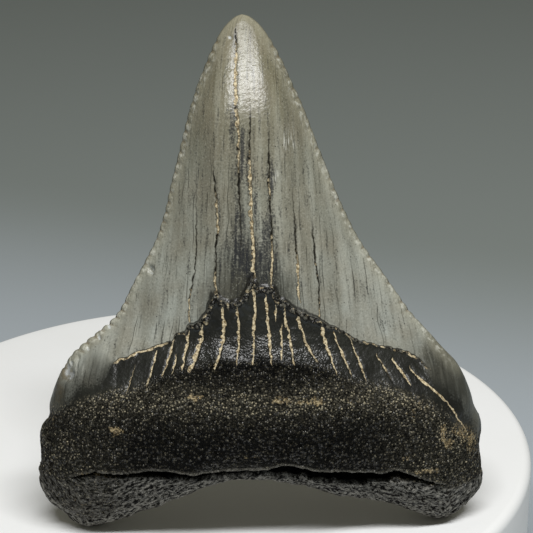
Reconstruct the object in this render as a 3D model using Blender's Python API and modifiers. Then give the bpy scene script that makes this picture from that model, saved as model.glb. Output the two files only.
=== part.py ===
"""A fossil megalodon tooth standing on a round white display disc.

The tooth grew as one piece, so its crown, its collar and its root are one solid.
It stands upright on the two lobes of its root, off the disc's middle and near the disc's front.
Frame: metres, +Z up, the origin at the middle of the disc's underside.
The tooth's rounded display face looks along -Y.
"""

import math

import bpy
import numpy as np

MM = 0.001

# Display disc, in millimetres.
DISC_RADIUS = 35.0
DISC_HEIGHT = 15.0
DISC_ROUNDING = 1.0
DISC_SIDES = 128
DISC_ROUNDING_STEPS = 3

# Where the tooth stands, in millimetres: the middle of its root, over the disc's top.
TOOTH_X = 7.0
TOOTH_Y = -17.5
REST_GAP = 0.3

# Outline of the tooth seen from the front, in millimetres: height above its lowest point,
# then the left and the right edge at that height, from the root's corners to the tip.
SIDES = (
    (4.6, -21.4, 21.1),
    (7.6, -21.15, 20.7),
    (9.9, -21.1, 20.75),
    (11.4, -20.1, 19.95),
    (13.2, -19.7, 19.3),
    (15.5, -18.9, 18.3),
    (16.7, -18.35, 17.4),
    (18.0, -17.15, 16.25),
    (20.8, -13.85, 13.8),
    (24.0, -12.05, 11.5),
    (28.5, -9.75, 8.45),
    (34.0, -8.25, 5.95),
    (40.2, -6.6, 3.45),
    (44.5, -4.95, 1.4),
    (46.6, -3.8, 0.05),
    (47.7, -2.7, -1.1),
    (48.0, -1.95, -1.95),
)

# Underside of the root seen from the front, in millimetres: the left corner, the left lobe,
# the arch and the right lobe, to the right corner.
UNDERSIDE = (
    (-21.4, 4.6),
    (-20.7, 3.0),
    (-19.0, 1.3),
    (-17.2, 0.0),
    (-14.2, 0.5),
    (-10.8, 2.0),
    (-7.4, 3.95),
    (-5.2, 5.1),
    (-2.6, 5.7),
    (0.4, 5.65),
    (3.0, 5.15),
    (7.0, 3.7),
    (11.6, 2.05),
    (14.8, 0.75),
    (17.4, 0.0),
    (19.3, 1.2),
    (20.7, 2.9),
    (21.1, 4.6),
)

# How far the front and the back stand off the tooth's middle sheet on its centre line,
# in millimetres: height, front, back.
THICKNESS = (
    (4.6, 6.6, 3.6),
    (9.0, 7.1, 4.2),
    (13.0, 7.5, 3.9),
    (17.0, 7.2, 3.1),
    (21.0, 6.6, 2.6),
    (26.0, 6.0, 2.1),
    (32.0, 5.4, 1.7),
    (37.0, 4.8, 1.35),
    (40.0, 4.35, 1.2),
    (42.5, 3.3, 1.05),
    (44.6, 2.1, 0.9),
    (46.4, 1.15, 0.7),
    (47.5, 0.6, 0.4),
    (48.0, 0.0, 0.0),
)

# The middle sheet leans back towards the tip and is turned a little about the upright.
FOOT_Y = 0.4
LEAN_BACK = 8.1
LEAN_POWER = 1.5
TURN_SLOPE = 0.04

# The root's section is a fat rounded bar, the crown's is a lens with two sharp edges, and the
# tip's is a lens with a flatter middle. The section changes from the root's to the crown's and
# from the crown's to the tip's between these heights, in millimetres.
ROOT_TOP = 11.0
CROWN_FOOT = 21.0
TIP_FROM = 33.0
TIP_TO = 42.0
ROOT_SECTION = (2.6, 2.3)
CROWN_SECTION = (2.0, 1.0)
TIP_SECTION = (3.3, 1.0)

# The underside rounds off over this height, and the arch fades out over this one.
UNDERSIDE_ROUNDING = 6.0
UNDERSIDE_POWER = 1.9
ARCH_FADE = 9.0

# Mesh steps across the tooth, up its rounded underside and up the rest of it.
ACROSS = 28
UP_UNDERSIDE = 10
UP_REST = 46


def clear_scene():
    """Remove every object that the file opened with."""
    for item in list(bpy.data.objects):
        bpy.data.objects.remove(item, do_unlink=True)


def through_points(points, steps):
    """Smooth curve through the rows of `points`, read at the fractional row numbers `steps`.

    Between two rows it is the Catmull-Rom cubic, whose slope at a row is half the step
    from the row before it to the row after it.
    """
    rows = np.asarray(points, dtype=float)
    slope = np.gradient(rows, axis=0)
    low = np.clip(np.floor(steps).astype(int), 0, len(rows) - 2)
    t = (np.asarray(steps) - low)[:, None]
    start, end = rows[low], rows[low + 1]
    leave, arrive = slope[low], slope[low + 1]
    return (
        start * (2 * t**3 - 3 * t**2 + 1)
        + leave * (t**3 - 2 * t**2 + t)
        + end * (3 * t**2 - 2 * t**3)
        + arrive * (t**3 - t**2)
    )


def steps_at_heights(points, heights):
    """Fractional row numbers at which the first column of `points` has the given heights."""
    fine = np.linspace(0, len(points) - 1, 40 * len(points))
    return np.interp(heights, through_points(points, fine)[:, 0], fine)


def at_heights(points, heights):
    """The other columns of `points` at the given heights."""
    return through_points(points, steps_at_heights(points, heights))[:, 1:]


def row_heights():
    """Heights of the mesh rows at the tooth's two edges.

    They are close together where the underside and the tip are round.
    """
    foot, tip = SIDES[0][0], SIDES[-1][0]
    turn = np.linspace(0.0, math.pi / 2, UP_UNDERSIDE + 1)
    low = foot + UNDERSIDE_ROUNDING * (1.0 - np.cos(turn))
    turn = np.linspace(0.0, math.pi / 2, UP_REST + 1)[1:]
    high = low[-1] + (tip - low[-1]) * (0.55 * turn / (math.pi / 2) + 0.45 * np.sin(turn))
    return np.concatenate([low, high])


def middle_y(x, z):
    """Depth of the tooth's middle sheet at a place in its front view."""
    tip = SIDES[-1][0]
    return FOOT_Y + LEAN_BACK * np.clip(z / tip, 0, None) ** LEAN_POWER + TURN_SLOPE * x


def front_view(heights, across):
    """Where each point of the grid lies in the front view.

    A row runs straight from the left edge to the right edge, plus what the underside stands
    off that line, which fades out upwards as a falling square.
    """
    edges = at_heights(SIDES, heights)
    share = (across[None, :] + 1) / 2
    x = edges[:, :1] * (1 - share) + edges[:, 1:] * share
    z = np.repeat(heights[:, None], len(across), axis=1)

    lengths = np.hypot(*np.diff(np.array(UNDERSIDE), axis=0).T)
    along = np.concatenate([[0.0], np.cumsum(lengths)]) / lengths.sum()
    steps = np.interp(share[0], along, np.arange(len(UNDERSIDE)))
    under = through_points(UNDERSIDE, steps)
    fade = np.clip(1 - (heights - heights[0]) / ARCH_FADE, 0, 1)[:, None] ** 2
    return x + fade * (under[:, 0] - x[0]), z + fade * (under[:, 1] - z[0])


def ease(heights, low, high):
    """Smooth step from 0 at `low` to 1 at `high`."""
    t = np.clip((heights - low) / (high - low), 0, 1)
    return t * t * (3 - 2 * t)


def section(across, heights):
    """Share of the full thickness across a row: (1 - |u|^a)^(1/b), blended from root to tip."""
    crown = ease(heights, ROOT_TOP, CROWN_FOOT)[:, None]
    tip = ease(heights, TIP_FROM, TIP_TO)[:, None]
    a, b = (
        root + (middle - root) * crown + (top - middle) * tip
        for root, middle, top in zip(ROOT_SECTION, CROWN_SECTION, TIP_SECTION)
    )
    return (1 - np.abs(across)[None, :] ** a) ** (1 / b)


def tooth_grids():
    """Front and back grids of the tooth, in millimetres from its foot."""
    turn = np.linspace(-1, 1, ACROSS + 1)
    across = 0.5 * turn + 0.5 * np.sin(turn * math.pi / 2)
    heights = row_heights()
    x, z = front_view(heights, across)
    stand_off = at_heights(THICKNESS, heights)
    rise = np.clip((heights - heights[0]) / UNDERSIDE_ROUNDING, 0, 1)
    rounding = (1 - (1 - rise) ** UNDERSIDE_POWER) ** (1 / UNDERSIDE_POWER)
    shape = section(across, heights) * rounding[:, None]
    middle = middle_y(x, z)
    front = np.stack([x, middle - stand_off[:, :1] * shape, z], axis=-1)
    back = np.stack([x, middle + stand_off[:, 1:] * shape, z], axis=-1)
    return front, back


def loft_tooth():
    """Vertices and faces of the tooth, lofted from its underside line through lens sections."""
    front, back = tooth_grids()
    loops = np.concatenate([front[1:-1], back[1:-1, -2:0:-1]], axis=1)
    rows, ring = loops.shape[:2]
    seam = front[0]
    tip = front[-1, 0]
    points = np.concatenate([seam, loops.reshape(-1, 3), tip[None]])
    points = points + np.array([TOOTH_X, TOOTH_Y, DISC_HEIGHT + REST_GAP])

    first = len(seam)
    last = ACROSS
    seam_of = [min(i, 2 * last - i) for i in range(ring)]
    faces = []
    for i in range(ring):
        j = (i + 1) % ring
        upper_i, upper_j = first + i, first + j
        faces.append((seam_of[i], seam_of[j], upper_j, upper_i))
        for row in range(rows - 1):
            low = first + row * ring
            high = low + ring
            faces.append((low + i, low + j, high + j, high + i))
        top = first + (rows - 1) * ring
        faces.append((top + i, top + j, len(points) - 1))
    return points * MM, faces


def plain_material(name, colour, roughness):
    """Principled material with one colour and one roughness, not metallic."""
    material = bpy.data.materials.new(name)
    material.use_nodes = True
    shader = material.node_tree.nodes["Principled BSDF"]
    shader.inputs["Base Color"].default_value = (*colour, 1.0)
    shader.inputs["Roughness"].default_value = roughness
    shader.inputs["Metallic"].default_value = 0.0
    return material


def make_tooth(collection):
    """The tooth: crown, collar and root in one solid."""
    points, faces = loft_tooth()
    mesh = bpy.data.meshes.new("tooth")
    mesh.from_pydata(points.tolist(), [], faces)
    mesh.validate()
    mesh.shade_smooth()
    mesh.materials.append(plain_material("fossil_tooth", (0.10, 0.10, 0.085), 0.45))
    tooth = bpy.data.objects.new("tooth", mesh)
    collection.objects.link(tooth)
    return tooth


def make_disc(collection):
    """The display disc: a flat round slab with softly rounded rims."""
    bpy.ops.mesh.primitive_cylinder_add(
        vertices=DISC_SIDES,
        radius=DISC_RADIUS * MM,
        depth=DISC_HEIGHT * MM,
        location=(0.0, 0.0, DISC_HEIGHT * MM / 2),
    )
    disc = bpy.context.object
    disc.name = "display_disc"
    disc.data.name = "display_disc"
    for owner in list(disc.users_collection):
        owner.objects.unlink(disc)
    collection.objects.link(disc)
    bevel = disc.modifiers.new("rounded_rims", "BEVEL")
    bevel.width = DISC_ROUNDING * MM
    bevel.segments = DISC_ROUNDING_STEPS
    bevel.limit_method = "ANGLE"
    bevel.angle_limit = math.radians(60)
    disc.data.shade_smooth()
    disc.data.set_sharp_from_angle(angle=math.radians(60))
    disc.data.materials.append(plain_material("white_plastic", (0.80, 0.80, 0.78), 0.5))
    return disc


def main():
    """Build the tooth and its disc in one collection."""
    clear_scene()
    collection = bpy.data.collections.new("megalodon_tooth")
    bpy.context.scene.collection.children.link(collection)
    make_disc(collection)
    make_tooth(collection)


main()
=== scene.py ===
"""The looks of a fossil megalodon tooth that stands on a round white display disc.

Lengths are in millimetres until a mesh is made, where they become metres. The tooth is worked
out in its own frame: x to the right and z up from its foot, and y to the back. Its rounded
display face looks along -Y.
"""

import math
from functools import partial

import bpy
import numpy as np
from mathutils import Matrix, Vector


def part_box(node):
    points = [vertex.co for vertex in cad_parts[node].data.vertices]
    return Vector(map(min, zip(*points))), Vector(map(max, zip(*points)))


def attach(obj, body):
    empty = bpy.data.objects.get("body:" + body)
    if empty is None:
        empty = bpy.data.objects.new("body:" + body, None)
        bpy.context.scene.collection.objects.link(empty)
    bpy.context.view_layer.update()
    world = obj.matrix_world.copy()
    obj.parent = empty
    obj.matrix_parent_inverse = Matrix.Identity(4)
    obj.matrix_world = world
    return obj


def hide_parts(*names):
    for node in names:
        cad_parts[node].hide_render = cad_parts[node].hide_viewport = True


MM = 0.001

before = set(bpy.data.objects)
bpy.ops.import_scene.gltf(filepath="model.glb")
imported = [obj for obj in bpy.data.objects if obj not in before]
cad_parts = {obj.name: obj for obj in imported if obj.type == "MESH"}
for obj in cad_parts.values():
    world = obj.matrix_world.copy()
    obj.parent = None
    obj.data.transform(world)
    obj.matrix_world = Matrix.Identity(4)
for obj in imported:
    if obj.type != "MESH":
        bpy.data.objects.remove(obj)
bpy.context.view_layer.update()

# The disc, from the frame.
DISC_LOW, DISC_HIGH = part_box("display_disc")
DISC_RADIUS = (DISC_HIGH.x - DISC_LOW.x) / 2 / MM
DISC_TOP = DISC_HIGH.z / MM
DISC_ROUNDING = 1.0

# How far the floor goes each way from the middle.
FLOOR_REACH = 1600.0

# Where the tooth's foot is. It stands on the disc itself, without the small gap of the CAD.
TOOTH_X = 7.0
TOOTH_Y = -17.5

# The camera: its place, how many degrees it looks down, its lens and its sensor.
CAMERA_PLACE = (7.28, -169.68, 103.28)
LOOKING_DOWN = 22.06
LENS, SENSOR = 121.6, 36.0

# The softbox: its place, what it looks at, its length and width, and its power in watts.
SOFTBOX_PLACE = (40, -190, 378)
SOFTBOX_AIM = (TOOTH_X, TOOTH_Y, 30.0)
SOFTBOX_SIZE = (300, 46)
SOFTBOX_POWER = 1.8

# Outline from the front: height, left edge, right edge, from the root's corners to the tip.
SIDES = (
    (4.6, -21.4, 21.1), (7.6, -21.15, 20.7), (9.9, -21.1, 20.75), (11.4, -20.1, 19.95),
    (13.2, -19.7, 19.3), (15.5, -18.9, 18.3), (16.7, -18.35, 17.4), (18.0, -17.15, 16.25),
    (20.8, -13.85, 13.8), (24.0, -12.05, 11.5), (28.5, -9.75, 8.45), (34.0, -8.25, 5.95),
    (40.2, -6.6, 3.45), (44.5, -4.95, 1.4), (46.6, -3.8, 0.05), (47.7, -2.7, -1.1),
    (48.0, -1.95, -1.95),
)

# Underside from the front, from the left corner over the two lobes and the arch.
UNDERSIDE = (
    (-21.4, 4.6), (-20.7, 3.0), (-19.0, 1.3), (-17.2, 0.0), (-14.2, 0.5), (-10.8, 2.0),
    (-7.4, 3.95), (-5.2, 5.1), (-2.6, 5.7), (0.4, 5.65), (3.0, 5.15), (7.0, 3.7), (11.6, 2.05),
    (14.8, 0.75), (17.4, 0.0), (19.3, 1.2), (20.7, 2.9), (21.1, 4.6),
)

# How far the front and the back stand off the middle sheet on the centre line, by height.
THICKNESS = (
    (4.6, 6.6, 3.6), (9.0, 7.1, 4.2), (13.0, 7.5, 3.9), (17.0, 7.2, 3.1), (21.0, 6.6, 2.6),
    (26.0, 6.0, 2.1), (32.0, 5.4, 1.7), (37.0, 4.8, 1.35), (40.0, 4.35, 1.2), (42.5, 3.3, 1.05),
    (44.6, 2.1, 0.9), (46.4, 1.15, 0.7), (47.5, 0.6, 0.4), (48.0, 0.0, 0.0),
)

# The middle sheet leans back by a power of the height and turns a little to one side.
FOOT_Y = 0.4
LEAN_BACK = 8.1
LEAN_POWER = 1.5
TURN_SLOPE = 0.04

# Powers a and b of the cross-sections, and the heights between which one turns into the next.
ROOT_SECTION = (2.6, 2.3)
CROWN_SECTION = (2.0, 1.0)
TIP_SECTION = (3.3, 1.0)
ROOT_TOP, CROWN_FOOT = 11.0, 21.0
TIP_FROM, TIP_TO = 33.0, 42.0

# Heights above the lowest edge by which the underside is rounded and the arch has faded out.
UNDERSIDE_ROUNDING = 6.0
UNDERSIDE_POWER = 1.9
ARCH_FADE = 9.0

# Spacing of the mesh points on the front, on the back, and from row to row.
FRONT_STEP = 0.142
BACK_STEP = 0.48
ROW_STEP = 0.158

# Cutting edges: serrations about 1 mm apart, cut from both faces, longer on the shoulders.
LEFT_PITCH = 0.92
RIGHT_PITCH = 1.02
SERRATION_DEPTH = 0.035
SERRATION_REACH = 0.34
SHOULDER_REACH = 0.75
LEFT_SERRATED = (17.2, 46.0)
RIGHT_SERRATED = (20.0, 46.0)

# Heights over which the shoulders give way to the straight edges, and the edges to the tip.
SHOULDER_END = (20.0, 23.0)
EDGE_END = (44.0, 46.0)

# Where the enamel ends on the front and on the back, from the left edge to the right: (x, z).
ENAMEL_END = (
    (-20.6, 12.6), (-19.8, 13.4), (-18.6, 14.9), (-17.3, 16.3), (-15.4, 17.1), (-13.9, 17.7),
    (-13.3, 18.1), (-11.6, 18.9), (-10.4, 19.3), (-9.4, 19.75), (-8.4, 20.2), (-8.0, 20.8),
    (-7.2, 21.1), (-6.9, 21.6), (-5.9, 22.1), (-5.2, 22.9), (-4.7, 24.2), (-4.25, 24.8),
    (-3.9, 24.3), (-3.1, 24.0), (-2.1, 24.4), (-1.6, 25.0), (-1.35, 25.8), (-1.0, 26.4),
    (-0.5, 25.6), (0.7, 25.5), (1.05, 25.1), (1.5, 24.4), (2.4, 23.8), (3.7, 23.0), (5.0, 22.2),
    (6.3, 21.5), (7.6, 20.7), (8.9, 19.75), (9.9, 19.6), (10.8, 19.1), (12.1, 18.7),
    (13.5, 18.05), (14.5, 17.35), (15.1, 16.8), (16.1, 16.3), (17.1, 15.7), (18.5, 14.3),
    (19.5, 12.8), (20.4, 11.2),
)
ENAMEL_END_BACK = (
    (-20.6, 11.8), (-17.0, 12.9), (-11.0, 14.6), (-5.0, 16.2), (0.0, 16.7), (5.0, 16.0),
    (11.0, 14.2), (17.0, 12.2), (20.4, 10.8),
)

# The enamel ends sharply between these x and softly beyond, over these many millimetres.
SHARP_END_FROM, SHARP_END_TO = -13.6, 15.2
SHARP_END = 0.10
SOFT_END = 2.4

# Where the smooth collar under the enamel gives way to the grainy root: (x, z).
ROOT_START = (
    (-20.6, 12.4), (-18.0, 14.0), (-14.1, 15.6), (-10.3, 17.1), (-6.7, 18.7), (-0.1, 19.8),
    (6.1, 18.2), (10.7, 16.4), (15.4, 14.2), (18.0, 11.9), (20.4, 9.9),
)

# How much of the stated half widths shows, where a crack is empty and where it is full of sand.
ENAMEL_CRACK_WIDTH = (0.36, 1.25)
COLLAR_CRACK_WIDTH = (0.6, 1.0)

# Cracks, empty or full of sand: each runs down through (x, z, half width, share of sand).
ENAMEL_CRACKS = (
    ((-6.1, 35.3, 0.03, 0.0), (-6.1, 30.5, 0.07, 0.0), (-6.1, 28.0, 0.05, 0.5),
     (-6.3, 26.2, 0.06, 0.2), (-6.8, 24.0, 0.05, 0.9), (-6.8, 22.0, 0.06, 1.0)),
    ((-4.4, 40.2, 0.02, 0.0), (-4.5, 35.7, 0.04, 0.0), (-4.3, 33.4, 0.10, 0.8),
     (-4.1, 30.4, 0.12, 0.9), (-4.3, 28.2, 0.08, 0.3), (-4.4, 25.8, 0.09, 1.0),
     (-4.2, 24.5, 0.11, 1.0)),
    ((-2.5, 46.9, 0.05, 0.4), (-2.5, 45.0, 0.13, 0.9), (-2.5, 42.6, 0.16, 1.0),
     (-2.4, 40.5, 0.15, 0.9), (-2.2, 38.5, 0.14, 0.9), (-2.2, 36.2, 0.12, 0.8),
     (-2.1, 33.0, 0.06, 0.3), (-2.0, 29.1, 0.05, 0.0), (-2.0, 27.5, 0.02, 0.0)),
    ((-1.2, 41.9, 0.02, 0.0), (-1.25, 38.4, 0.07, 0.6), (-1.2, 35.5, 0.14, 1.0),
     (-1.15, 32.2, 0.15, 1.0), (-0.9, 29.3, 0.10, 1.0), (-0.9, 26.4, 0.13, 1.0)),
    ((0.5, 40.7, 0.02, 0.0), (0.5, 37.7, 0.07, 0.0), (0.5, 35.2, 0.08, 0.7),
     (0.6, 33.4, 0.08, 0.9), (0.7, 31.8, 0.04, 0.1), (0.8, 29.9, 0.09, 0.8),
     (0.8, 27.9, 0.08, 1.0), (0.7, 25.4, 0.09, 1.0)),
    ((2.7, 35.4, 0.02, 0.0), (2.7, 32.0, 0.06, 0.0), (2.9, 29.4, 0.05, 0.4),
     (3.05, 27.6, 0.10, 1.0), (3.2, 24.6, 0.10, 1.0), (3.3, 24.0, 0.03, 1.0)),
    ((4.4, 31.3, 0.02, 0.0), (4.5, 29.0, 0.06, 0.3), (4.8, 26.8, 0.09, 0.7),
     (5.1, 24.6, 0.07, 0.5), (5.1, 22.6, 0.08, 0.9)),
    ((6.2, 26.9, 0.02, 0.0), (6.6, 24.4, 0.05, 0.0), (6.95, 22.6, 0.03, 0.0)),
)
COLLAR_CRACKS = (
    ((-11.7, 18.0, 0.02, 0.9), (-12.4, 16.2, 0.04, 0.9), (-12.6, 15.4, 0.01, 0.9)),
    ((-9.8, 19.2, 0.06, 1.0), (-10.2, 18.0, 0.08, 1.0), (-10.6, 16.6, 0.10, 0.7)),
    ((-8.1, 20.5, 0.08, 1.0), (-8.6, 18.9, 0.13, 1.0), (-9.2, 17.5, 0.05, 0.7)),
    ((-7.9, 19.2, 0.04, 1.0), (-8.1, 18.4, 0.08, 1.0), (-8.25, 17.8, 0.03, 1.0)),
    ((-6.8, 21.8, 0.07, 1.0), (-6.95, 20.2, 0.15, 1.0), (-7.3, 18.2, 0.10, 0.9)),
    ((-5.6, 22.2, 0.10, 1.0), (-5.7, 20.6, 0.20, 1.0), (-6.2, 19.0, 0.24, 1.0),
     (-6.6, 18.1, 0.18, 0.8)),
    ((-3.75, 23.6, 0.15, 1.0), (-3.6, 21.9, 0.22, 1.0), (-3.8, 20.2, 0.17, 1.0),
     (-4.3, 18.5, 0.12, 0.9)),
    ((-2.45, 24.2, 0.17, 1.0), (-2.25, 22.4, 0.15, 1.0), (-2.2, 20.4, 0.12, 1.0),
     (-2.4, 18.9, 0.05, 0.8)),
    ((-0.95, 26.2, 0.13, 1.0), (-0.8, 23.4, 0.17, 1.0), (-0.9, 21.4, 0.13, 1.0),
     (-0.85, 20.4, 0.16, 1.0), (-1.0, 19.0, 0.07, 1.0)),
    ((0.15, 24.8, 0.14, 1.0), (0.45, 22.4, 0.15, 1.0), (0.55, 20.8, 0.19, 1.0),
     (0.75, 18.9, 0.08, 0.9)),
    ((1.15, 24.0, 0.05, 1.0), (1.1, 23.1, 0.10, 1.0), (1.1, 22.6, 0.02, 1.0)),
    ((1.65, 22.2, 0.08, 1.0), (1.7, 20.8, 0.12, 1.0), (1.55, 19.3, 0.06, 1.0)),
    ((1.75, 24.3, 0.08, 1.0), (2.1, 22.2, 0.17, 1.0), (2.35, 21.0, 0.12, 1.0),
     (2.75, 18.8, 0.09, 0.8)),
    ((2.95, 23.5, 0.12, 1.0), (3.5, 21.6, 0.15, 1.0), (4.1, 20.1, 0.15, 1.0),
     (4.9, 18.6, 0.12, 0.7)),
    ((5.2, 22.0, 0.08, 1.0), (5.45, 21.2, 0.22, 1.0), (5.95, 19.6, 0.15, 1.0),
     (6.55, 17.6, 0.05, 0.9)),
    ((6.4, 21.0, 0.07, 1.0), (7.1, 19.3, 0.11, 1.0), (7.95, 17.3, 0.08, 0.8)),
    ((7.9, 20.3, 0.05, 1.0), (8.6, 18.7, 0.08, 1.0), (9.35, 16.8, 0.11, 0.7)),
    ((10.5, 18.5, 0.07, 0.8), (11.2, 17.4, 0.10, 0.8), (12.0, 16.1, 0.09, 0.5)),
    ((11.9, 17.9, 0.08, 1.0), (12.8, 16.9, 0.17, 1.0), (13.6, 15.8, 0.05, 0.9)),
    ((13.5, 17.0, 0.08, 1.0), (15.3, 15.2, 0.16, 1.0), (17.0, 13.6, 0.11, 1.0),
     (18.0, 12.0, 0.09, 1.0), (19.2, 10.2, 0.06, 0.9)),
)
BACK_CRACKS = (
    ((-8.6, 24.5, 0.02, 0.0), (-9.4, 20.0, 0.07, 0.6), (-10.2, 16.0, 0.05, 1.0)),
    ((-5.4, 31.0, 0.02, 0.0), (-5.7, 24.0, 0.07, 0.3), (-6.2, 17.2, 0.10, 1.0)),
    ((-3.2, 41.5, 0.03, 0.6), (-3.0, 32.0, 0.08, 0.9), (-3.1, 18.0, 0.09, 1.0)),
    ((-1.4, 45.5, 0.03, 0.5), (-1.2, 36.0, 0.09, 1.0), (-0.6, 17.0, 0.12, 1.0)),
    ((0.9, 38.0, 0.02, 0.0), (1.3, 28.0, 0.08, 0.7), (1.9, 17.2, 0.10, 1.0)),
    ((3.4, 31.5, 0.02, 0.0), (3.9, 24.0, 0.07, 0.2), (4.6, 16.6, 0.08, 0.9)),
    ((6.4, 25.5, 0.02, 0.0), (7.6, 19.5, 0.06, 0.5), (8.6, 15.6, 0.06, 0.9)),
)

# The open split along the root: (x, z of its upper lip, height of the gap).
SPLIT = (
    (-18.4, 6.8, 0.0), (-17.0, 7.5, 0.15), (-15.6, 8.15, 0.30), (-13.1, 8.05, 0.42),
    (-11.0, 8.5, 0.62), (-8.7, 8.85, 0.95), (-6.2, 8.35, 0.90), (-4.4, 8.75, 0.95),
    (-1.6, 8.8, 0.90), (0.5, 8.8, 0.95), (1.8, 9.35, 1.50), (3.4, 9.05, 1.30), (5.4, 8.5, 1.15),
    (7.4, 8.4, 1.55), (9.4, 8.0, 1.50), (10.9, 7.7, 0.95), (12.3, 7.95, 1.00),
    (13.7, 7.2, 0.55), (15.4, 6.3, 0.25), (17.6, 5.2, 0.0),
)
SPLIT_DEPTH = 1.8

# Sand caught in the root: (x, z, reach in x, reach in z, strength).
SAND_PATCHES = (
    (-13.4, 12.6, 0.75, 0.55, 1.0),
    (-1.0, 10.4, 1.0, 0.22, 0.7),
    (-6.0, 16.0, 1.3, 0.45, 0.75),
    (-2.6, 16.1, 1.6, 0.35, 0.5),
    (1.6, 15.8, 1.4, 0.45, 0.8),
    (4.6, 15.5, 1.5, 0.45, 0.85),
    (8.5, 15.2, 2.5, 0.8, 0.35),
    (14.2, 13.8, 2.2, 1.4, 0.45),
    (18.4, 11.4, 1.0, 1.7, 0.85),
    (19.6, 9.2, 0.7, 1.8, 0.7),
    (16.7, 11.2, 0.35, 1.0, 0.8),
    (17.2, 9.9, 0.5, 0.5, 0.8),
    (15.5, 7.5, 1.6, 0.4, 0.75),
    (13.3, 9.2, 0.9, 0.35, 0.6),
    (-15.2, 7.8, 2.2, 0.35, 0.8),
    (11.8, 7.2, 2.0, 0.3, 0.6),
    (-19.6, 12.0, 0.9, 1.0, 0.4),
    (-16.8, 4.4, 3.0, 2.2, 0.3),
)

# Blue-black stains in the enamel: (x, z, reach in x, reach in z, strength).
STAINS = (
    (-2.8, 38.6, 0.35, 2.2, 0.95),
    (-1.85, 38.2, 0.30, 2.0, 0.85),
    (-1.7, 35.6, 0.50, 1.6, 0.85),
    (-0.75, 33.5, 0.28, 2.8, 0.7),
    (0.65, 34.4, 0.38, 2.2, 0.8),
    (0.3, 31.5, 0.45, 1.6, 0.65),
    (-2.3, 31.5, 0.40, 3.4, 0.6),
    (-2.1, 28.2, 1.0, 2.6, 0.85),
    (-0.2, 27.8, 1.1, 2.8, 0.85),
    (0.9, 29.6, 0.5, 2.0, 0.6),
    (-4.0, 28.2, 0.30, 1.8, 0.6),
    (-4.1, 32.2, 0.35, 1.8, 0.45),
    (2.9, 30.0, 0.3, 2.2, 0.4),
)

# Smoky shades in the enamel, and one painted shade on the tip's left flank: (x, z, reach in x,
# reach in z, strength).
SHADES = (
    (16.8, 16.6, 2.6, 2.4, 0.75),
    (18.6, 14.2, 1.7, 1.9, 0.8),
    (-3.1, 26.6, 1.3, 2.0, 0.75),
    (-1.6, 28.2, 1.6, 2.4, 0.6),
    (0.6, 27.6, 1.2, 2.0, 0.6),
    (2.2, 25.4, 1.3, 1.2, 0.45),
    (-5.4, 24.3, 1.1, 1.5, 0.35),
    (-2.2, 32.0, 1.0, 4.0, 0.35),
    (15.4, 17.8, 2.6, 1.6, 0.3),
    (-19.1, 13.6, 1.1, 1.4, 0.45),
    (-14.9, 16.9, 1.3, 0.9, 0.5),
    # Painted shade: darker on the tip's left flank, against the gloss there.
    (-4.9, 44.0, 0.9, 2.6, 0.32),
)

# Brown stains on the left shoulder: (x, z, reach in x, reach in z, strength).
BROWN_EDGES = (
    (-18.4, 15.9, 0.6, 0.6, 1.1),
    (-18.9, 14.3, 0.65, 1.1, 1.0),
)

# Fine slanting scratches, and a pale spot on the left shoulder that is a painted highlight: (x,
# z, reach in x, reach in z, strength).
SCRATCHES_AND_HIGHLIGHT = (
    (2.3, 37.6, 0.55, 0.7, 1.0),
    (1.2, 34.8, 0.3, 0.6, 0.6),
    # Painted highlight on the left shoulder, in the scratches' pale colour.
    (-17.5, 16.6, 0.7, 0.6, 0.9),
)

# Chips: (x, z, radius, depth) scooped out of the front face near the left cutting edge. Their
# pale colour is partly painted glint, most on the small chips along the left shoulder.
CHIPS = (
    (-10.45, 25.35, 0.48, 0.38),
    (-18.2, 16.0, 0.75, 0.40),
    (-18.0, 16.7, 0.30, 0.25),
    (-17.4, 17.3, 0.32, 0.20),
    (-16.4, 18.1, 0.32, 0.20),
    (-15.4, 19.0, 0.32, 0.18),
    (-14.5, 19.9, 0.28, 0.15),
    (-3.0, 46.2, 0.25, 0.10),
)

# Noises of the tooth's material: name, size in millimetres and detail. Then its grain size.
NOISES = (
    ("fine", 0.17, 2.0),
    ("grit", 0.28, 1.0),
    ("mottle", 0.4, 1.0),
    ("small", 0.5, 2.0),
    ("broad", 3.2, 2.0),
    ("wobble", 0.45, 3.0),
)
GRAIN = 0.19


# Numbers worked out over whole arrays -----------------------------------------------------


def through_points(points, steps):
    """Catmull-Rom curve through the rows of `points`, read at fractional row numbers."""
    rows = np.asarray(points, dtype=float)
    slope = np.gradient(rows, axis=0)
    low = np.clip(np.floor(steps).astype(int), 0, len(rows) - 2)
    t = (np.asarray(steps) - low)[:, None]
    return (
        rows[low] * (2 * t**3 - 3 * t**2 + 1)
        + slope[low] * (t**3 - 2 * t**2 + t)
        + rows[low + 1] * (3 * t**2 - 2 * t**3)
        + slope[low + 1] * (t**3 - t**2)
    )


def at_heights(points, heights):
    """Columns of `points` after the first, at given values of the first column."""
    fine = np.linspace(0, len(points) - 1, 60 * len(points))
    steps = np.interp(heights, through_points(points, fine)[:, 0], fine)
    return through_points(points, steps)[:, 1:]


def ease(value, low, high):
    """Smooth step from 0 at `low` to 1 at `high`."""
    t = np.clip((value - low) / (high - low), 0, 1)
    return t * t * (3 - 2 * t)


def scatter(cells, seed):
    """A number from 0 to 1 for each whole-number cell, mixed from its three coordinates."""
    mixed = cells[..., 0] * 73856093 ^ cells[..., 1] * 19349663 ^ cells[..., 2] * 83492791
    mixed = (mixed ^ seed * 668265263) & 0x7FFFFFFF
    mixed = ((mixed ^ (mixed >> 15)) * 2246822519) & 0x7FFFFFFF
    mixed = ((mixed ^ (mixed >> 13)) * 3266489917) & 0x7FFFFFFF
    return (mixed ^ (mixed >> 16)) / 0x7FFFFFFF


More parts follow.
